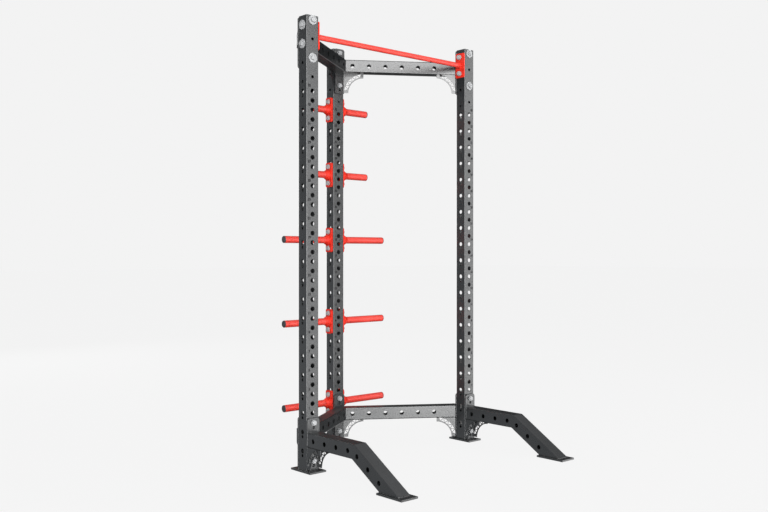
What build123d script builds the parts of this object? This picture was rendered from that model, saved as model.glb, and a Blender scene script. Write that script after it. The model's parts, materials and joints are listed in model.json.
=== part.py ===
from build123d import *
import os
from math import acos, atan2, copysign, cos, hypot, pi, sin, tan

# Half rack on three uprights: two in front, one behind on the centre line.
# Millimetres. X runs from the left front upright to the right one, Y runs backwards, Z is up.
# The origin is the bottom centre of the whole object's box, on the floor.

# Driving dimensions
FRONT_SPACING = 1145.0      # between the centres of the two front uprights
DEPTH = 565.0               # from the front uprights' centres back to the rear upright's centre
TUBE = 75.0                 # side of every square frame tube
WALL = 3.0
TUBE_CORNER = 4.5
UPRIGHT_TOP = 2400.0        # height of an upright above its base plate, cap included
HOLE_LARGE = 25.5
HOLE_SMALL = 17.0

FLOOR_PLATE = 10.0          # thickness of the plates that stand on the floor
BASE_WIDTH = 100.0
BASE_LENGTH = 180.0

FLANGE = 10.0               # thickness of a bolted flange
FLANGE_HEIGHT = 275.0
FLANGE_CORNER = 15.0
FLANGE_HOLES = (25.0, 50.0, 225.0, 250.0)     # below the flange's top edge
TUBE_BELOW_FLANGE_TOP = 75.0
FLANGE_TOP_LOW = 275.0      # above the uprights' bottom ends
FLANGE_TOP_HIGH = 2400.0

ARM_FIRST_HOLE = 131.0      # from the flange of a front upright, along the arm's inner face
ARM_HOLES = 6
HOLE_PITCH = 100.0
ARM_TRIM_ANGLE = 60.0       # trim of an arm's outer corner behind its front flange

BEAM_REACH = 440.0          # front upright's centre forward to the foot's bend
LEG_SLOPE = 30.0
BEAM_FIRST_HOLE = 50.0
BEAM_HOLES = 4
LEG_FIRST_HOLE = 38.0
LEG_HOLES = 3
PAD_LENGTH = 190.0
PAD_BACK_MARGIN = 4.0

GUSSET = 116.0              # both legs of a gusset
GUSSET_THICKNESS = 4.0
GUSSET_ARC = 93.0
GUSSET_RIM = 7.0
LATTICE_DEPTH = 19.0
LATTICE_CELLS = 9
LATTICE_BAR = 3.6

BAR_HEIGHT = 2300.0         # pull-up bar's axis above the uprights' bottom ends
BAR_DIAMETER = 30.0
BAR_WALL = 3.0
SIDE_PLATE_HEIGHT = 150.0   # plates of the pull-up bar and of the pegs
BAR_PLATE = 7.0             # thickness
BAR_PLATE_WIDTH = 75.0
PEG_PLATE = 10.0
PEG_PLATE_WIDTH = 60.0
SIDE_PLATE_CORNER = 10.0
SIDE_BOLT_OFFSET = 50.0

PEG_HEIGHTS = (2025.0, 1625.0, 1225.0, 725.0, 225.0)
PEG_REACHES = (200.0, 200.0, 330.0, 330.0, 330.0)     # from the rear upright's side face
PEG_DIAMETER = 42.0
PEG_WALL = 4.0
COLLAR_DIAMETER = 62.0
COLLAR_RIM_END = 26.0       # from the rear upright's side face
COLLAR_CONE_END = 44.0
PEG_CAP = 4.0
PEG_PLUG = 15.0

CAP_FLANGE = 3.0
CAP_SKIRT = 14.0
CAP_PLAY = 0.3

BOLT_DIAMETER = 16.0
HEAD_ACROSS_FLATS = 24.0
HEAD_HEIGHT = 10.0
NUT_HEIGHT = 13.0
BOLT_TAIL = 4.0             # thread that stands past a nut
WASHER_THICKNESS = 3.0
WASHER_DIAMETER = 30.0
LARGE_WASHER_DIAMETER = 50.0
LARGE_WASHER_THICKNESS = 4.0
BOLT_ROWS = (25.0, 225.0)   # flange holes that carry bolts, below the flange's top edge

# Derived places
HALF = TUBE / 2
HALF_SPACING = FRONT_SPACING / 2
SLOPE = LEG_SLOPE * pi / 180
TUBE_MIDDLE = FLANGE_TOP_LOW - TUBE_BELOW_FLANGE_TOP - HALF
LEG_RISE = HALF / cos(SLOPE)
LEG_BACK = BEAM_REACH + (TUBE_MIDDLE - LEG_RISE) / tan(SLOPE)
PAD_BACK = LEG_BACK - PAD_BACK_MARGIN
FRONT_Y = (PAD_BACK + PAD_LENGTH - DEPTH - BASE_LENGTH / 2) / 2
REAR_Y = FRONT_Y + DEPTH
BOTTOM = FLOOR_PLATE
FRONT_FLANGE_Y = FRONT_Y + HALF + FLANGE
REAR_FLANGE_Y = REAR_Y - HALF - FLANGE
RUN_X = HALF_SPACING - TUBE
RUN_Y = REAR_FLANGE_Y - FRONT_FLANGE_Y
ARM_ANGLE = acos(TUBE / hypot(RUN_X, RUN_Y)) - atan2(RUN_X, RUN_Y)

os.makedirs("parts", exist_ok=True)


def save(piece, name):
    piece.part.label = name
    export_step(piece.part, f"parts/{name}.step")


def mirrored(piece):
    with BuildPart() as other:
        add(piece.part)
        mirror(about=Plane.YZ, mode=Mode.REPLACE)
    return other


def save_pair(piece, right_name, left_name):
    save(piece, right_name)
    save(mirrored(piece), left_name)


def tube_section():
    RectangleRounded(TUBE, TUBE, TUBE_CORNER)
    RectangleRounded(TUBE - 2 * WALL, TUBE - 2 * WALL, TUBE_CORNER - WALL, mode=Mode.SUBTRACT)


def drill(plane, points, diameter, depth):
    with BuildSketch(plane) as holes:
        with Locations(*points):
            Circle(diameter / 2)
    extrude(holes.sketch, amount=depth / 2, both=True, mode=Mode.SUBTRACT)


def facing_front(x, y, z):
    return Plane(origin=(x, y, z), x_dir=(1, 0, 0), z_dir=(0, -1, 0))


def facing_side(x, y, z):
    return Plane(origin=(x, y, z), x_dir=(0, 1, 0), z_dir=(1, 0, 0))


# Uprights: large adjustment holes with small bolt holes at both ends and between
FRONT_LARGE = [(0, 300 + 50 * i) for i in range(35)]
FRONT_SMALL = [(0, z) for z in (50, 150, 250, 2075, 2175, 2275, 2375)]
SIDE_LARGE = [(0, 100 + 100 * i) for i in range(20)]
SIDE_SMALL = [(0, 75 + 100 * i) for i in range(20)] + [(0, z) for z in (2050, 2150, 2250, 2350)]


def make_upright(x, y, side_small):
    with BuildPart() as upright:
        with BuildSketch(Plane((x, y, BOTTOM))):
            tube_section()
        extrude(amount=UPRIGHT_TOP - CAP_FLANGE)
        drill(facing_front(x, y, BOTTOM), FRONT_LARGE, HOLE_LARGE, 2 * TUBE)
        drill(facing_front(x, y, BOTTOM), FRONT_SMALL, HOLE_SMALL, 2 * TUBE)
        drill(facing_side(x, y, BOTTOM), SIDE_LARGE, HOLE_LARGE, 2 * TUBE)
        drill(facing_side(x, y, BOTTOM), side_small, HOLE_SMALL, 2 * TUBE)
    return upright


save_pair(make_upright(HALF_SPACING, FRONT_Y, SIDE_SMALL), "upright_right", "upright_left")
save(make_upright(0, REAR_Y, SIDE_SMALL + [(0, 2075)]), "upright_rear")


# Base plate under each upright
def make_base(x, y):
    with BuildPart() as base:
        with BuildSketch(Plane((x, y, 0))):
            Rectangle(BASE_WIDTH, BASE_LENGTH)
        extrude(amount=FLOOR_PLATE)
        chamfer(base.edges().group_by(Axis.Z)[-1], length=1)
    return base


save_pair(make_base(HALF_SPACING, FRONT_Y), "base_plate_right", "base_plate_left")
save(make_base(0, REAR_Y), "base_plate_rear")


# Push-in cap in each upright's top end
def make_cap(x, y):
    inner = TUBE - 2 * WALL - 2 * CAP_PLAY
    top = BOTTOM + UPRIGHT_TOP - CAP_FLANGE
    with BuildPart() as cap:
        with BuildSketch(Plane((x, y, top))):
            RectangleRounded(TUBE, TUBE, TUBE_CORNER)
        extrude(amount=CAP_FLANGE)
        fillet(cap.edges().group_by(Axis.Z)[-1], radius=1.5)
        with BuildSketch(Plane((x, y, top - CAP_SKIRT))):
            RectangleRounded(inner, inner, TUBE_CORNER - WALL)
            RectangleRounded(inner - 2 * WALL, inner - 2 * WALL, 1, mode=Mode.SUBTRACT)
        extrude(amount=CAP_SKIRT)
    return cap


save_pair(make_cap(HALF_SPACING, FRONT_Y), "top_cap_right", "top_cap_left")
save(make_cap(0, REAR_Y), "top_cap_rear")


# Bolted flange, upright in the XZ plane, with its back on the plane y
def make_flange(x, y, top):
    with BuildPart() as flange:
        with BuildSketch(facing_front(x, y, BOTTOM + top - FLANGE_HEIGHT / 2)):
            RectangleRounded(TUBE, FLANGE_HEIGHT, FLANGE_CORNER)
        extrude(amount=FLANGE)
        rows = [(0, -below) for below in FLANGE_HOLES]
        drill(facing_front(x, y, BOTTOM + top), rows, HOLE_SMALL, 4 * FLANGE)
        chamfer(flange.edges().filter_by(Plane.XZ).group_by(SortBy.LENGTH)[-1], length=0.8)
    return flange


# Arm of a V-shaped crossmember. Its inner face starts at the inner edge of the front flange,
# and its outer face ends at the edge of the rear flange, where the two arms meet in a mitre.
ARM_ALONG = Vector(-cos(ARM_ANGLE), sin(ARM_ANGLE), 0)
ARM_OUT = Vector(sin(ARM_ANGLE), cos(ARM_ANGLE), 0)
ARM_INNER_START = Vector(HALF_SPACING - HALF, FRONT_FLANGE_Y, 0)
ARM_OUTER_END = Vector(HALF, REAR_FLANGE_Y, 0)
ARM_INNER_LENGTH = (HALF_SPACING - HALF) / cos(ARM_ANGLE)
MITRE_INNER = ARM_INNER_START + ARM_ALONG * ARM_INNER_LENGTH
FLANGE_OUTER_EDGE = Vector(HALF_SPACING + HALF, FRONT_FLANGE_Y, 0)
TRIM = ARM_TRIM_ANGLE * pi / 180
TRIM_ALONG = Vector(-cos(TRIM), sin(TRIM), 0)
TRIM_LENGTH = (ARM_OUTER_END - FLANGE_OUTER_EDGE).dot(ARM_OUT) / TRIM_ALONG.dot(ARM_OUT)
TRIM_CORNER = FLANGE_OUTER_EDGE + TRIM_ALONG * TRIM_LENGTH
TRIM_INSET = TRIM_ALONG.rotate(Axis.Z, 90) * WALL


def make_arm(flange_top):
    middle = Vector(0, 0, BOTTOM + flange_top - TUBE_BELOW_FLANGE_TOP - HALF)
    start = ARM_INNER_START + ARM_OUT * HALF - ARM_ALONG * 2 * TUBE + middle
    face = Plane(origin=ARM_INNER_START + middle, x_dir=ARM_ALONG, z_dir=ARM_OUT)
    holes = [(ARM_FIRST_HOLE + HOLE_PITCH * i, 0) for i in range(ARM_HOLES)]
    with BuildPart() as arm:
        with BuildSketch(Plane(origin=start, x_dir=ARM_OUT, z_dir=ARM_ALONG)):
            tube_section()
        extrude(amount=ARM_INNER_LENGTH + 4 * TUBE)
        with BuildSketch(Plane.XY.offset(middle.Z - HALF)):
            with BuildLine():
                Polyline(
                    (MITRE_INNER.X, MITRE_INNER.Y),
                    (ARM_INNER_START.X, ARM_INNER_START.Y),
                    (FLANGE_OUTER_EDGE.X, FLANGE_OUTER_EDGE.Y),
                    (TRIM_CORNER.X, TRIM_CORNER.Y),
                    (ARM_OUTER_END.X, ARM_OUTER_END.Y),
                    (0, REAR_FLANGE_Y),
                    close=True,
                )
            make_face()
        extrude(amount=TUBE, mode=Mode.INTERSECT)
        with BuildSketch(Plane.XY.offset(middle.Z - HALF)):
            with BuildLine():
                Polyline(
                    (FLANGE_OUTER_EDGE.X, FLANGE_OUTER_EDGE.Y),
                    (TRIM_CORNER.X, TRIM_CORNER.Y),
                    (TRIM_CORNER.X + TRIM_INSET.X, TRIM_CORNER.Y + TRIM_INSET.Y),
                    (FLANGE_OUTER_EDGE.X - WALL / sin(TRIM), FLANGE_OUTER_EDGE.Y),
                    close=True,
                )
            make_face()
        extrude(amount=TUBE)
        drill(face, holes, HOLE_LARGE, 4 * TUBE)
    return arm


# Gusset in a face of a tube, below it: x runs along the tube, y up. Its free edge is a
# concave arc, and a row of triangular openings follows that arc.
def lattice_triangle(cell):
    step = (pi / 2 - 0.2) / (LATTICE_CELLS + 1)
    middle = pi / 2 + 0.1 + step * (cell + 1)
    inner = GUSSET_ARC + GUSSET_RIM
    outer = inner + LATTICE_DEPTH
    base, tip = (inner, outer) if cell % 2 else (outer, inner)
    half_base = step - LATTICE_BAR / base
    return [
        (GUSSET + r * cos(turn), -GUSSET + r * sin(turn))
        for r, turn in ((base, middle - half_base), (base, middle + half_base), (tip, middle))
    ]


def make_gusset(plane, trim_plane):
    with BuildPart() as gusset:
        with BuildSketch(plane):
            with BuildLine():
                Line((-2 * GUSSET_THICKNESS, 0), (GUSSET, 0))
                Line((GUSSET, 0), (GUSSET, GUSSET_ARC - GUSSET))
                CenterArc((GUSSET, -GUSSET), GUSSET_ARC, 90, 90)
                Line((GUSSET - GUSSET_ARC, -GUSSET), (-2 * GUSSET_THICKNESS, -GUSSET))
                Line((-2 * GUSSET_THICKNESS, -GUSSET), (-2 * GUSSET_THICKNESS, 0))
            make_face()
        extrude(amount=GUSSET_THICKNESS)
        with BuildSketch(plane):
            for cell in range(LATTICE_CELLS):
                with BuildLine():
                    Polyline(*lattice_triangle(cell), close=True)
                make_face()
        extrude(amount=2 * GUSSET_THICKNESS, both=True, mode=Mode.SUBTRACT)
        split(bisect_by=trim_plane, keep=Keep.TOP)
    return gusset


def make_arm_gussets(flange_top):
    under = Vector(0, 0, BOTTOM + flange_top - TUBE_BELOW_FLANGE_TOP - TUBE)
    front_plane = Plane(origin=ARM_INNER_START + under, x_dir=ARM_ALONG, z_dir=ARM_OUT)
    rear_plane = Plane(origin=ARM_OUTER_END + under, x_dir=-ARM_ALONG, z_dir=-ARM_OUT)
    front = make_gusset(front_plane, Plane(origin=ARM_INNER_START, z_dir=(0, 1, 0)))
    rear = make_gusset(rear_plane, Plane(origin=ARM_OUTER_END, z_dir=(0, -1, 0)))
    with BuildPart() as gussets:
        add(front.part)
        add(rear.part)
        mirror(about=Plane.YZ)
    return gussets


for level, flange_top in (("top", FLANGE_TOP_HIGH), ("bottom", FLANGE_TOP_LOW)):
    save_pair(make_arm(flange_top), f"{level}_arm_right", f"{level}_arm_left")
    front_flange = make_flange(HALF_SPACING, FRONT_FLANGE_Y, flange_top)
    save_pair(front_flange, f"{level}_flange_right", f"{level}_flange_left")
    save(make_flange(0, REAR_Y - HALF, flange_top), f"{level}_flange_rear")
    save(make_arm_gussets(flange_top), f"{level}_gussets")


# Front foot: a level beam from a flange, then a leg that slopes down to a floor pad
FOOT_FLANGE_Y = FRONT_Y - HALF - FLANGE
BEND_Y = FRONT_Y - BEAM_REACH
TUBE_Z = BOTTOM + TUBE_MIDDLE
BEND_SHIFT = HALF * tan(SLOPE / 2)
LEG_ALONG = Vector(0, -cos(SLOPE), -sin(SLOPE))
LEG_LENGTH = TUBE_MIDDLE / sin(SLOPE)
SIDE_X = HALF_SPACING + HALF

with BuildPart() as foot_beam:
    beam_start = (HALF_SPACING, FOOT_FLANGE_Y, TUBE_Z)
    with BuildSketch(Plane(origin=beam_start, x_dir=(1, 0, 0), z_dir=(0, -1, 0))):
        tube_section()
    extrude(amount=FOOT_FLANGE_Y - BEND_Y + TUBE)
    mitre = Plane(origin=(HALF_SPACING, BEND_Y, TUBE_Z), z_dir=(0, -cos(SLOPE / 2), -sin(SLOPE / 2)))
    split(bisect_by=mitre, keep=Keep.BOTTOM)
    beam_holes = [(-BEAM_FIRST_HOLE - HOLE_PITCH * i, 0) for i in range(BEAM_HOLES)]
    drill(facing_side(HALF_SPACING, FOOT_FLANGE_Y, TUBE_Z), beam_holes, HOLE_LARGE, 2 * TUBE)

with BuildPart() as foot_leg:
    leg_plane = Plane(origin=(HALF_SPACING, BEND_Y, TUBE_Z), x_dir=(1, 0, 0), z_dir=LEG_ALONG)
    with BuildSketch(leg_plane.offset(-TUBE)):
        tube_section()
    extrude(amount=LEG_LENGTH + 3 * TUBE)
    split(bisect_by=mitre, keep=Keep.TOP)
    split(bisect_by=Plane.XY.offset(BOTTOM), keep=Keep.TOP)
    leg_side = Plane(origin=(HALF_SPACING, BEND_Y, TUBE_Z), x_dir=LEG_ALONG, z_dir=(1, 0, 0))
    leg_holes = [(LEG_FIRST_HOLE + HOLE_PITCH * i, 0) for i in range(LEG_HOLES)]
    drill(leg_side, leg_holes, HOLE_LARGE, 2 * TUBE)

with BuildPart() as foot_pad:
    with BuildSketch(Plane((HALF_SPACING, FRONT_Y - PAD_BACK - PAD_LENGTH / 2, 0))):
        Rectangle(BASE_WIDTH, PAD_LENGTH)
    extrude(amount=FLOOR_PLATE)
    chamfer(foot_pad.edges().group_by(Axis.Z)[-1], length=1)

under_beam = TUBE_Z - HALF
foot_face = Plane(origin=(0, FOOT_FLANGE_Y, 0), z_dir=(0, -1, 0))
right_side = Plane(origin=(SIDE_X, FOOT_FLANGE_Y, under_beam), x_dir=(0, -1, 0), z_dir=(-1, 0, 0))
left_side = right_side.offset(TUBE - GUSSET_THICKNESS)
left_gusset = make_gusset(left_side, foot_face)
right_gusset = make_gusset(right_side, foot_face)
with BuildPart() as foot_gussets:
    add(left_gusset.part)
    add(right_gusset.part)

save_pair(foot_beam, "foot_beam_right", "foot_beam_left")
save_pair(foot_leg, "foot_leg_right", "foot_leg_left")
save_pair(foot_pad, "foot_pad_right", "foot_pad_left")
save_pair(foot_gussets, "foot_gussets_right", "foot_gussets_left")
foot_flange = make_flange(HALF_SPACING, FRONT_Y - HALF, FLANGE_TOP_LOW)
save_pair(foot_flange, "foot_flange_right", "foot_flange_left")


# Side plate of the pull-up bar or of a peg, with its back on the plane x, growing towards +X
def make_side_plate(x, y, height, width, thickness):
    with BuildPart() as plate:
        with BuildSketch(facing_side(x, y, BOTTOM + height)):
            RectangleRounded(width, SIDE_PLATE_HEIGHT, SIDE_PLATE_CORNER)
            with Locations((0, -SIDE_BOLT_OFFSET), (0, SIDE_BOLT_OFFSET)):
                Circle(HOLE_SMALL / 2, mode=Mode.SUBTRACT)
        extrude(amount=thickness)
    return plate


# Pull-up bar between the front uprights' inner faces
BAR_PLATE_X = HALF_SPACING - HALF - BAR_PLATE
with BuildPart() as pullup_bar:
    with BuildSketch(facing_side(-BAR_PLATE_X, FRONT_Y, BOTTOM + BAR_HEIGHT)):
        Circle(BAR_DIAMETER / 2)
        Circle(BAR_DIAMETER / 2 - BAR_WALL, mode=Mode.SUBTRACT)
    extrude(amount=2 * BAR_PLATE_X)
save(pullup_bar, "pullup_bar")
bar_plate = make_side_plate(BAR_PLATE_X, FRONT_Y, BAR_HEIGHT, BAR_PLATE_WIDTH, BAR_PLATE)
save_pair(bar_plate, "pullup_plate_right", "pullup_plate_left")


# Storage pegs on both sides of the rear upright
def make_peg(height, reach):
    with BuildPart() as peg:
        with BuildSketch(facing_side(HALF + PEG_PLATE, REAR_Y, BOTTOM + height)):
            Circle(PEG_DIAMETER / 2)
            Circle(PEG_DIAMETER / 2 - PEG_WALL, mode=Mode.SUBTRACT)
        extrude(amount=reach - PEG_PLATE - PEG_CAP)
    return peg


def make_collar(height):
    start = HALF + PEG_PLATE
    peg_radius = PEG_DIAMETER / 2
    rim_radius = COLLAR_DIAMETER / 2
    axis = Axis((0, REAR_Y, BOTTOM + height), (1, 0, 0))
    with BuildPart() as collar:
        with BuildSketch(Plane(origin=axis.position, x_dir=(1, 0, 0), z_dir=(0, -1, 0))):
            with BuildLine():
                Polyline(
                    (start, peg_radius),
                    (start, rim_radius),
                    (HALF + COLLAR_RIM_END, rim_radius),
                    (HALF + COLLAR_CONE_END, peg_radius),
                    close=True,
                )
            make_face()
        revolve(axis=axis)
    return collar


def make_peg_cap(height, reach):
    end = HALF + reach - PEG_CAP
    bore = PEG_DIAMETER / 2 - PEG_WALL - CAP_PLAY
    with BuildPart() as cap:
        with BuildSketch(facing_side(end, REAR_Y, BOTTOM + height)):
            Circle(PEG_DIAMETER / 2)
        extrude(amount=PEG_CAP)
        fillet(cap.edges().sort_by(Axis.X)[-1], radius=2)
        with BuildSketch(facing_side(end, REAR_Y, BOTTOM + height)):
            Circle(bore)
        extrude(amount=-PEG_PLUG)
    return cap


def group(pieces):
    with BuildPart() as together:
        for piece in pieces:
            add(piece.part)
    return together


for number, (height, reach) in enumerate(zip(PEG_HEIGHTS, PEG_REACHES), start=1):
    save_pair(make_peg(height, reach), f"peg_{number}_right", f"peg_{number}_left")
plates = [make_side_plate(HALF, REAR_Y, height, PEG_PLATE_WIDTH, PEG_PLATE) for height in PEG_HEIGHTS]
peg_plates = group(plates)
peg_collars = group([make_collar(height) for height in PEG_HEIGHTS])
peg_caps = group([make_peg_cap(height, reach) for height, reach in zip(PEG_HEIGHTS, PEG_REACHES)])
save_pair(peg_plates, "peg_plates_right", "peg_plates_left")
save_pair(peg_collars, "peg_collars_right", "peg_collars_left")
save_pair(peg_caps, "peg_caps_right", "peg_caps_left")


# Fasteners. A joint is the plane of its bolt heads, facing out of the head, and the
# thickness that the bolt clamps. Its centre is at the plane's origin.
def make_disc(plane, diameter, thickness):
    with BuildPart() as disc:
        with BuildSketch(plane):
            Circle(diameter / 2)
            Circle(BOLT_DIAMETER / 2, mode=Mode.SUBTRACT)
        extrude(amount=thickness)
    return disc


def make_bolt(plane, grip):
    with BuildPart() as bolt:
        with BuildSketch(plane):
            RegularPolygon(HEAD_ACROSS_FLATS / 2, 6, major_radius=False)
        extrude(amount=HEAD_HEIGHT)
        chamfer(bolt.faces().sort_by(Axis(plane.origin, plane.z_dir))[-1].edges(), length=1)
        with BuildSketch(plane):
            Circle(BOLT_DIAMETER / 2)
        extrude(amount=-grip - NUT_HEIGHT - BOLT_TAIL)
    return bolt


def make_nut(plane, grip):
    with BuildPart() as nut:
        with BuildSketch(plane.offset(-grip)):
            RegularPolygon(HEAD_ACROSS_FLATS / 2, 6, major_radius=False)
            Circle(BOLT_DIAMETER / 2, mode=Mode.SUBTRACT)
        extrude(amount=-NUT_HEIGHT)
    return nut


nuts = []
washers = []
large_washers = []


def save_bolts(name, seats, clamped, head_washers, head_washer_diameter, head_washer):
    grip = clamped + head_washer + WASHER_THICKNESS
    heads = [seat.offset(head_washer) for seat in seats]
    save(group([make_bolt(head, grip) for head in heads]), f"{name}_bolts")
    nuts.extend(make_nut(head, grip) for head in heads)
    head_washers.extend(make_disc(seat, head_washer_diameter, head_washer) for seat in seats)
    backs = [seat.offset(-clamped) for seat in seats]
    washers.extend(make_disc(back, WASHER_DIAMETER, -WASHER_THICKNESS) for back in backs)


def flange_seats(xs, y, top):
    return [facing_front(x, y, BOTTOM + top - below) for x in xs for below in BOLT_ROWS]


def side_seats(xs, y, heights):
    offsets = (-SIDE_BOLT_OFFSET, SIDE_BOLT_OFFSET)
    places = [(x, BOTTOM + height + offset) for x in xs for height in heights for offset in offsets]
    return [Plane(origin=(x, y, z), x_dir=(0, copysign(1, x), 0), z_dir=(x, 0, 0)) for x, z in places]


FRONT_XS = (-HALF_SPACING, HALF_SPACING)
LARGE = (large_washers, LARGE_WASHER_DIAMETER, LARGE_WASHER_THICKNESS)
STANDARD = (washers, WASHER_DIAMETER, WASHER_THICKNESS)
top_front = flange_seats(FRONT_XS, FRONT_Y - HALF, FLANGE_TOP_HIGH)
save_bolts("top_front", top_front, TUBE + FLANGE, *LARGE)

rear_high = flange_seats((0,), REAR_FLANGE_Y, FLANGE_TOP_HIGH)
rear_low = flange_seats((0,), REAR_FLANGE_Y, FLANGE_TOP_LOW)
save_bolts("rear", rear_high + rear_low, TUBE + FLANGE, *STANDARD)

feet = flange_seats(FRONT_XS, FOOT_FLANGE_Y, FLANGE_TOP_LOW)
save_bolts("foot", feet, TUBE + 2 * FLANGE, *STANDARD)

bar_seats = side_seats((-SIDE_X, SIDE_X), FRONT_Y, (BAR_HEIGHT,))
save_bolts("pullup", bar_seats, TUBE + BAR_PLATE, *LARGE)

peg_seats = side_seats((-HALF - PEG_PLATE,), REAR_Y, PEG_HEIGHTS)
save_bolts("peg", peg_seats, TUBE + 2 * PEG_PLATE, *STANDARD)
save(group(nuts), "nuts")
save(group(washers), "washers")
save(group(large_washers), "large_washers")
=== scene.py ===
import bpy
import bmesh
import json
from math import cos, pi, radians, sin
from mathutils import Matrix, Vector


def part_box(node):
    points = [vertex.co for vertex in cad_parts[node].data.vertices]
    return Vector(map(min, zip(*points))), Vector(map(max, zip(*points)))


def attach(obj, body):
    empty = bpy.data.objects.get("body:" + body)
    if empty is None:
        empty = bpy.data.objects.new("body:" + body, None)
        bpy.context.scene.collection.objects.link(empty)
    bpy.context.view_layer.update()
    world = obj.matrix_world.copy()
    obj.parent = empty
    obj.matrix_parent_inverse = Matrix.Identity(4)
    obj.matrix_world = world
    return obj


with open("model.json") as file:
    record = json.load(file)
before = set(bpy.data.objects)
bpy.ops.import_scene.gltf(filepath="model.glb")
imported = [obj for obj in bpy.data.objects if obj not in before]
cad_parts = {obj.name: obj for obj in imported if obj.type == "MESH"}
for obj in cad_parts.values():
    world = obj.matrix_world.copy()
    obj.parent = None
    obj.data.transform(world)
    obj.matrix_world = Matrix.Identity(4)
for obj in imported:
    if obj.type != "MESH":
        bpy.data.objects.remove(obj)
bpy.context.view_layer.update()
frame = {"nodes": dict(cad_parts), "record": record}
nodes = frame["nodes"]
scene = bpy.context.scene

# Lengths are in metres, in the CAD frame: Z up, the open side towards -Y


# ---------- node helpers ----------

def new_material(name):
    material = bpy.data.materials.new(name)
    material.use_nodes = True
    tree = material.node_tree
    tree.nodes.clear()
    output = tree.nodes.new("ShaderNodeOutputMaterial")
    shader = tree.nodes.new("ShaderNodeBsdfPrincipled")
    tree.links.new(shader.outputs[0], output.inputs[0])
    return material, tree, shader


def noise(tree, coords, scale, detail):
    node = tree.nodes.new("ShaderNodeTexNoise")
    node.inputs["Scale"].default_value = scale
    node.inputs["Detail"].default_value = detail
    tree.links.new(coords, node.inputs["Vector"])
    return node.outputs["Fac"]


def spread(tree, value, low, high, to_low, to_high):
    node = tree.nodes.new("ShaderNodeMapRange")
    node.inputs["From Min"].default_value = low
    node.inputs["From Max"].default_value = high
    node.inputs["To Min"].default_value = to_low
    node.inputs["To Max"].default_value = to_high
    tree.links.new(value, node.inputs["Value"])
    return node.outputs["Result"]


def ramp(tree, value, stops):
    node = tree.nodes.new("ShaderNodeValToRGB")
    elements = node.color_ramp.elements
    elements[0].position, elements[0].color = stops[0][0], (*stops[0][1], 1)
    elements[1].position, elements[1].color = stops[-1][0], (*stops[-1][1], 1)
    for place, color in stops[1:-1]:
        elements.new(place).color = (*color, 1)
    tree.links.new(value, node.inputs["Fac"])
    return node.outputs["Color"]


def bump(tree, shader, height, strength, distance):
    node = tree.nodes.new("ShaderNodeBump")
    node.inputs["Strength"].default_value = strength
    node.inputs["Distance"].default_value = distance
    tree.links.new(height, node.inputs["Height"])
    tree.links.new(node.outputs["Normal"], shader.inputs["Normal"])


def object_coords(tree):
    return tree.nodes.new("ShaderNodeTexCoord").outputs["Object"]


# ---------- materials ----------

NOISE_LOW, NOISE_HIGH = 0.3, 0.7        # nearly all values of a noise texture lie between
TOPS = (0.85, 0.98)            # upward share of the normal, from the first dust to full dust
DUST = 0.1                     # roughness that full dust adds


def colour_clouds(tree, shader, value, dark, light):
    tint = ramp(tree, value, [(NOISE_LOW, dark), (NOISE_HIGH, light)])
    tree.links.new(tint, shader.inputs["Base Color"])


def fine_grain(tree, value, smooth, rough):
    return spread(tree, value, NOISE_LOW, NOISE_HIGH, smooth, rough)


# A coat of baked powder: fine grain, and level tops a little duller than the sides
def powder_coat(name, dark, light, roughness, specular, grain):
    material, tree, shader = new_material(name)
    coords = object_coords(tree)
    colour_clouds(tree, shader, noise(tree, coords, 9.0, 3.0), dark, light)
    fine = noise(tree, coords, 420.0, 2.0)
    geometry = tree.nodes.new("ShaderNodeNewGeometry")
    split = tree.nodes.new("ShaderNodeSeparateXYZ")
    tree.links.new(geometry.outputs["True Normal"], split.inputs[0])
    dusted = tree.nodes.new("ShaderNodeMath")
    dusted.operation = "ADD"
    tree.links.new(fine_grain(tree, fine, *roughness), dusted.inputs[0])
    tree.links.new(spread(tree, split.outputs["Z"], *TOPS, 0.0, DUST), dusted.inputs[1])
    tree.links.new(dusted.outputs[0], shader.inputs["Roughness"])
    shader.inputs["Specular IOR Level"].default_value = specular
    bump(tree, shader, noise(tree, coords, 900.0, 1.0), grain, 0.0004)
    return material


BLACK = powder_coat(
    "black_powder_coat", (0.0075, 0.0087, 0.0095), (0.0115, 0.0128, 0.0138), (0.25, 0.33), 1.0, 0.12
)
RED = powder_coat(
    "red_powder_coat", (0.62, 0.04, 0.028), (0.68, 0.05, 0.034), (0.36, 0.44), 0.5, 0.1
)
RED_FITTINGS = powder_coat(
    "red_powder_coat_fittings", (0.62, 0.024, 0.012), (0.68, 0.03, 0.016), (0.42, 0.5), 0.18, 0.1
)


def zinc_plate():
    material, tree, shader = new_material("zinc_plate")
    coords = object_coords(tree)
    cloud = noise(tree, coords, 60.0, 3.0)
    colour_clouds(tree, shader, cloud, (0.285, 0.29, 0.295), (0.34, 0.345, 0.35))
    fine = noise(tree, coords, 300.0, 2.0)
    tree.links.new(fine_grain(tree, fine, 0.42, 0.55), shader.inputs["Roughness"])
    bump(tree, shader, noise(tree, coords, 700.0, 1.0), 0.15, 0.0003)
    return material


ZINC = zinc_plate()


def moulded_plastic():
    material, tree, shader = new_material("moulded_plastic")
    coords = object_coords(tree)
    cloud = noise(tree, coords, 40.0, 2.0)
    colour_clouds(tree, shader, cloud, (0.03, 0.031, 0.033), (0.045, 0.046, 0.05))
    fine = noise(tree, coords, 200.0, 2.0)
    tree.links.new(fine_grain(tree, fine, 0.5, 0.66), shader.inputs["Roughness"])
    bump(tree, shader, noise(tree, coords, 1500.0, 2.0), 0.3, 0.0003)
    return material


PLASTIC = moulded_plastic()

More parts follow.
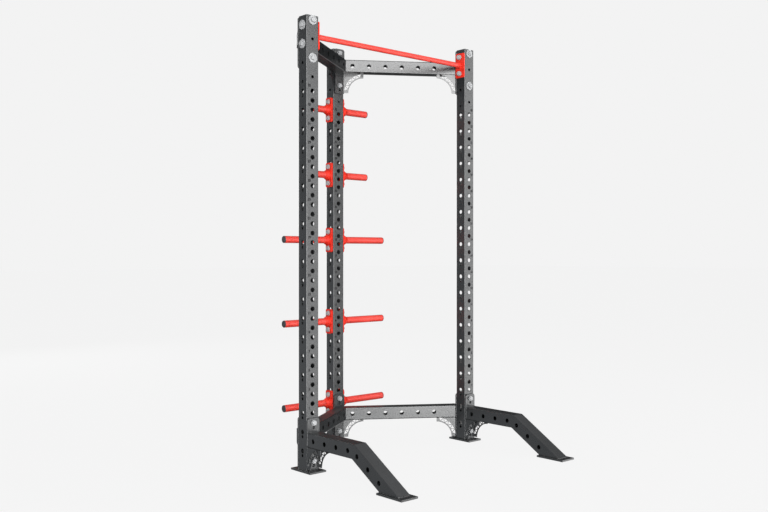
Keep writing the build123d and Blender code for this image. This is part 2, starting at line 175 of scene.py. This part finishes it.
# The red plates and collars are deeper and duller than the red tubes
FITTINGS = ("peg_plates", "peg_collars", "pullup_plate")
FINISH = {"black_coat": BLACK, "red_coat": RED, "zinc": ZINC, "cap_plastic": PLASTIC}
for entry in frame["record"]["subparts"]:
    node = nodes[entry["node"]]
    node.data.materials.clear()
    fitting = entry["node"].startswith(FITTINGS)
    node.data.materials.append(RED_FITTINGS if fitting else FINISH[entry["material_slot"]])


# ---------- numerals beside the uprights' holes ----------

def printed_paint():
    material, tree, shader = new_material("printed_numerals")
    coords = object_coords(tree)
    cloud = noise(tree, coords, 500.0, 2.0)
    colour_clouds(tree, shader, cloud, (0.006, 0.006, 0.007), (0.014, 0.014, 0.015))
    fine = noise(tree, coords, 900.0, 1.0)
    tree.links.new(fine_grain(tree, fine, 0.75, 0.9), shader.inputs["Roughness"])
    shader.inputs["Specular IOR Level"].default_value = 0.12
    return material


PRINT = printed_paint()

NUMERAL_HEIGHT = 0.013
DIGIT_SHARE = 0.7              # a digit's height as a share of the font's size
NUMERAL_STROKE = 0.0009        # extra half-width of the strokes
PRINT_LIFT = 0.00015           # of the print off the upright's face
NUMERALS = 18
LOWEST_HOLE = 0.310            # height of the first numbered hole
NUMBERED_PITCH = 0.100
NUMERAL_ABOVE_HOLE = 0.027
NUMERAL_BESIDE_HOLE = 0.0205


def numeral_mesh(text):
    curve = bpy.data.curves.new("numeral_text", "FONT")
    curve.body = text
    curve.size = NUMERAL_HEIGHT / DIGIT_SHARE
    curve.align_x = "CENTER"
    curve.align_y = "CENTER"
    curve.offset = NUMERAL_STROKE
    holder = bpy.data.objects.new("numeral_text", curve)
    scene.collection.objects.link(holder)
    bpy.context.view_layer.update()
    mesh = bpy.data.meshes.new_from_object(holder)
    bpy.data.objects.remove(holder)
    bpy.data.curves.remove(curve)
    return mesh


# Odd numbers from 1, on the upright's front face, on the side of the holes given by -1 or 1
def make_numerals(upright, side):
    low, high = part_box(upright)
    centre = (low[0] + high[0]) / 2
    front = low[1] - PRINT_LIFT
    marks = bmesh.new()
    for step in range(NUMERALS):
        mesh = numeral_mesh(str(1 + 2 * step))
        place = Vector((centre + side * NUMERAL_BESIDE_HOLE, front,
                        LOWEST_HOLE + NUMBERED_PITCH * step + NUMERAL_ABOVE_HOLE))
        mesh.transform(Matrix.Translation(place) @ Matrix.Rotation(pi / 2, 4, "X"))
        marks.from_mesh(mesh)
        bpy.data.meshes.remove(mesh)
    mesh = bpy.data.meshes.new(upright + "_numerals")
    marks.to_mesh(mesh)
    marks.free()
    mesh.materials.append(PRINT)
    piece = bpy.data.objects.new(upright + "_numerals", mesh)
    scene.collection.objects.link(piece)
    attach(piece, "root")


make_numerals("upright_left", -1)
make_numerals("upright_rear", -1)
make_numerals("upright_right", 1)


# ---------- weld beads ----------

BEAD_RADIUS = 0.0028
BEAD_RIPPLE = 0.0002
BEAD_STEP = 0.004
BEAD_SIDES = 8
BEAD_INSET = 0.005             # from a tube's corner to the start of a bead's straight run
BEAD_LIFT = 0.001              # of a bead's axis off the face it lies on
RING_GAP = 0.0005              # of a round bead's axis outside the round piece
RING_STEPS = 40
PEG_ROWS = 5
TUBE_CORNER = 0.0045           # outer corner radius of the square tubes
LEG_SLOPE = radians(30)
CROOKED = Vector((0.31, 0.47, 0.83))    # not along any bead


def resampled(points):
    corners = [Vector(p) for p in points] + [Vector(points[0])]
    path = []
    for start, end in zip(corners, corners[1:]):
        count = max(1, round((end - start).length / BEAD_STEP))
        path += [start.lerp(end, i / count) for i in range(count)]
    return path


# A closed bead of weld along the points, with the ripple of single drops
def add_bead(bm, points):
    path = resampled(points)
    turns = [2 * pi * k / BEAD_SIDES for k in range(BEAD_SIDES)]
    rings = []
    for i, point in enumerate(path):
        along = (path[(i + 1) % len(path)] - path[i - 1]).normalized()
        side = (CROOKED - along * CROOKED.dot(along)).normalized()
        up = along.cross(side)
        radius = BEAD_RADIUS + BEAD_RIPPLE * (1 if i % 2 else -1)
        rings.append([bm.verts.new(point + (side * cos(t) + up * sin(t)) * radius) for t in turns])
    for ring, following in zip(rings, rings[1:] + rings[:1]):
        for k in range(BEAD_SIDES):
            next_k = (k + 1) % BEAD_SIDES
            face = bm.faces.new((ring[k], ring[next_k], following[next_k], following[k]))
            face.smooth = True


def finish_beads(name, bm, material):
    bmesh.ops.recalc_face_normals(bm, faces=bm.faces)
    mesh = bpy.data.meshes.new(name)
    bm.to_mesh(mesh)
    bm.free()
    mesh.materials.append(material)
    piece = bpy.data.objects.new(name, mesh)
    scene.collection.objects.link(piece)
    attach(piece, "root")


# Each corner is an arc of four points
def rounded_square(centre_x, centre_y, half, radius, z):
    points = []
    for quarter, (sx, sy) in enumerate(((1, 1), (-1, 1), (-1, -1), (1, -1))):
        for i in range(4):
            turn = pi / 2 * (quarter + i / 3)
            points.append((centre_x + sx * (half - radius) + radius * cos(turn),
                           centre_y + sy * (half - radius) + radius * sin(turn), z))
    return points


def bead_under_uprights(bm):
    for name in ("upright_left", "upright_right", "upright_rear"):
        low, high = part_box(name)
        half = (high[0] - low[0]) / 2
        bottom = low[2] + BEAD_LIFT
        add_bead(bm, rounded_square(low[0] + half, low[1] + half, half + BEAD_LIFT, TUBE_CORNER, bottom))


# One corner-cut rectangle round the beam where it meets its flange, one round the leg on its pad
def bead_round_foot(bm, side):
    beam_low, beam_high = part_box("foot_beam_" + side)
    left, right = beam_low[0], beam_high[0]
    below, above = beam_low[2], beam_high[2]
    flange_y = beam_high[1] - BEAD_LIFT
    add_bead(bm, [(left + BEAD_INSET, flange_y, above), (right - BEAD_INSET, flange_y, above),
                  (right, flange_y, above - BEAD_INSET), (right, flange_y, below + BEAD_INSET),
                  (right - BEAD_INSET, flange_y, below), (left + BEAD_INSET, flange_y, below),
                  (left, flange_y, below + BEAD_INSET), (left, flange_y, above - BEAD_INSET)])
    leg_low, leg_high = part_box("foot_leg_" + side)
    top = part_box("foot_pad_" + side)[1][2] + BEAD_LIFT
    front = leg_low[1] + 2 * BEAD_LIFT
    back = front + (leg_high[0] - leg_low[0]) / sin(LEG_SLOPE)
    add_bead(bm, [(left + BEAD_INSET, front, top), (right - BEAD_INSET, front, top),
                  (right, front + BEAD_INSET, top), (right, back - BEAD_INSET, top),
                  (right - BEAD_INSET, back, top), (left + BEAD_INSET, back, top),
                  (left, back - BEAD_INSET, top), (left, front + BEAD_INSET, top)])


black_beads = bmesh.new()
bead_under_uprights(black_beads)
for side in ("left", "right"):
    bead_round_foot(black_beads, side)
finish_beads("frame_weld_beads", black_beads, BLACK)


# A ring in the plane x, round a piece that runs along X and has the given box
def ring_points(x, box, radius):
    low, high = box
    y, z = (low[1] + high[1]) / 2, (low[2] + high[2]) / 2
    turns = [2 * pi * i / RING_STEPS for i in range(RING_STEPS)]
    return [(x, y + radius * cos(turn), z + radius * sin(turn)) for turn in turns]


red_beads = bmesh.new()
plate_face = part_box("peg_plates_right")[1][0] + BEAD_LIFT
collar_low, collar_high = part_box("peg_collars_right")
collar_radius = (collar_high[1] - collar_low[1]) / 2 + RING_GAP
for row in range(1, PEG_ROWS + 1):
    for x in (-plate_face, plate_face):
        add_bead(red_beads, ring_points(x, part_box(f"peg_{row}_right"), collar_radius))
bar_low, bar_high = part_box("pullup_bar")
bar_radius = (bar_high[2] - bar_low[2]) / 2 + RING_GAP
for x in (bar_low[0] + BEAD_LIFT, bar_high[0] - BEAD_LIFT):
    add_bead(red_beads, ring_points(x, (bar_low, bar_high), bar_radius))
finish_beads("red_weld_beads", red_beads, RED_FITTINGS)


# ---------- stage, light and camera ----------

# Floor and backdrop show to the camera only, so they neither light the rack nor mirror in it
def camera_only(stage_piece):
    stage_piece.visible_diffuse = False
    stage_piece.visible_glossy = False
    stage_piece.visible_transmission = False
    stage_piece.visible_shadow = False


def stage_material(name, base, glow):
    material, _, shader = new_material(name)
    shader.inputs["Base Color"].default_value = (base, base, base, 1)
    shader.inputs["Roughness"].default_value = 1.0
    shader.inputs["Specular IOR Level"].default_value = 0.0
    shader.inputs["Emission Color"].default_value = (1, 1, 1, 1)
    shader.inputs["Emission Strength"].default_value = glow
    return material


def stage_mesh(name, material, vertices, faces):
    mesh = bpy.data.meshes.new(name)
    mesh.from_pydata(vertices, [], faces)
    mesh.materials.append(material)
    piece = bpy.data.objects.new(name, mesh)
    scene.collection.objects.link(piece)
    camera_only(piece)


PALE = 0.896                   # brightness of the backdrop
FLOOR_BASE = 0.035             # low, so that the lights leave only a faint shadow on the floor
FLOOR_GLOW = PALE - 0.02
REACH = 60.0                   # from the rack to the backdrop's walls and ceiling
WALL_FOOT = -0.5
square = [(-REACH, -REACH), (REACH, -REACH), (REACH, REACH), (-REACH, REACH)]
floor_material = stage_material("pale_floor", FLOOR_BASE, FLOOR_GLOW)
stage_mesh("floor", floor_material, [(x, y, 0) for x, y in square], [(0, 1, 2, 3)])
room_corners = [(x, y, z) for z in (WALL_FOOT, REACH) for x, y in square]
room_faces = [(i, (i + 1) % 4, (i + 1) % 4 + 4, i + 4) for i in range(4)] + [(4, 5, 6, 7)]
stage_mesh("backdrop", stage_material("pale_backdrop", 0.0, PALE), room_corners, room_faces)


# The mix node's colour sockets share their names with its value sockets, so they go by number
def combine(tree, mode, first, second):
    node = tree.nodes.new("ShaderNodeMix")
    node.data_type = "RGBA"
    node.blend_type = mode
    node.inputs["Factor"].default_value = 1.0
    tree.links.new(first, node.inputs[6])
    tree.links.new(second, node.inputs[7])
    return node.outputs[2]


def grey(level):
    return (level, level, level)


# A band of walls that dims upwards and towards +X, a soft crown overhead, and a glow low
# down on the side of +X
def studio_world():
    world = bpy.data.worlds.new("studio")
    scene.world = world
    world.use_nodes = True
    tree = world.node_tree
    background = tree.nodes["Background"]
    direction = tree.nodes.new("ShaderNodeTexCoord").outputs["Generated"]
    split = tree.nodes.new("ShaderNodeSeparateXYZ")
    tree.links.new(direction, split.inputs[0])
    height = spread(tree, split.outputs["Z"], -1.0, 1.0, 0.0, 1.0)
    across = spread(tree, split.outputs["X"], -1.0, 1.0, 0.0, 1.0)
    horizon = ramp(tree, height, [
        (0.0, grey(0.04)), (0.33, grey(0.2)), (0.42, (0.62, 0.64, 0.67)),
        (0.49, (0.4, 0.42, 0.44)), (0.62, (0.3, 0.31, 0.32)), (0.8, grey(0.12)),
    ])
    sides = ramp(tree, across, [(0.0, grey(1.0)), (0.45, grey(0.75)), (0.8, grey(0.14)), (1.0, grey(0.08))])
    walls = combine(tree, "MULTIPLY", horizon, sides)
    crown = ramp(tree, height, [
        (0.79, grey(0.0)), (0.86, (0.66, 0.66, 0.67)), (0.93, (0.66, 0.66, 0.67)), (1.0, grey(0.2)),
    ])
    low = ramp(tree, height, [(0.2, grey(0.0)), (0.28, grey(1.2)), (0.35, grey(1.2)), (0.38, grey(0.0))])
    plus_x = ramp(tree, across, [(0.8, grey(0.0)), (0.88, grey(1.0))])
    low_glow = combine(tree, "MULTIPLY", low, plus_x)
    total = combine(tree, "ADD", combine(tree, "ADD", walls, crown), low_glow)
    tree.links.new(total, background.inputs["Color"])
    background.inputs["Strength"].default_value = 1.0


studio_world()


# Brightness is given as radiance, so a light of another size looks just as bright
def area_light(name, place, target, size, radiance):
    light = bpy.data.lights.new(name, "AREA")
    light.shape = "RECTANGLE"
    light.size, light.size_y = size
    light.energy = radiance * size[0] * size[1] * pi
    lamp = bpy.data.objects.new(name, light)
    lamp.location = place
    lamp.rotation_euler = (Vector(target) - Vector(place)).to_track_quat("-Z", "Y").to_euler()
    lamp.visible_camera = False
    scene.collection.objects.link(lamp)


# A wide key behind the camera, one light behind the rack, and two tall ones to the camera's right
area_light("key", (-4.1, -5.6, 1.78), (0.0, 0.2, 1.78), (6.0, 6.05), 8.2)
area_light("back", (0.0, 7.0, 3.2), (0.0, 0.3, 1.2), (2.4, 3.6), 6.0)
area_light("front_near", (2.15, -4.9, 1.3), (0.0, 0.2, 1.2), (1.6, 6.2), 3.4)
area_light("front_far", (4.35, -3.4, 1.3), (0.0, 0.2, 1.2), (1.7, 6.2), 3.4)

EYE = (-3.322, -4.0093, 1.154)
HEADING = radians(45.23)       # from +Y towards +X; the camera is level

camera_data = bpy.data.cameras.new("camera")
camera = bpy.data.objects.new("camera", camera_data)
scene.collection.objects.link(camera)
scene.camera = camera
camera.location = EYE
camera.rotation_euler = (radians(90), 0, -HEADING)
camera_data.sensor_width = 36.0
camera_data.lens = 42.73
camera_data.shift_x = -0.1404
camera_data.shift_y = -0.0037
camera_data.clip_end = 200

scene.view_settings.view_transform = "Standard"
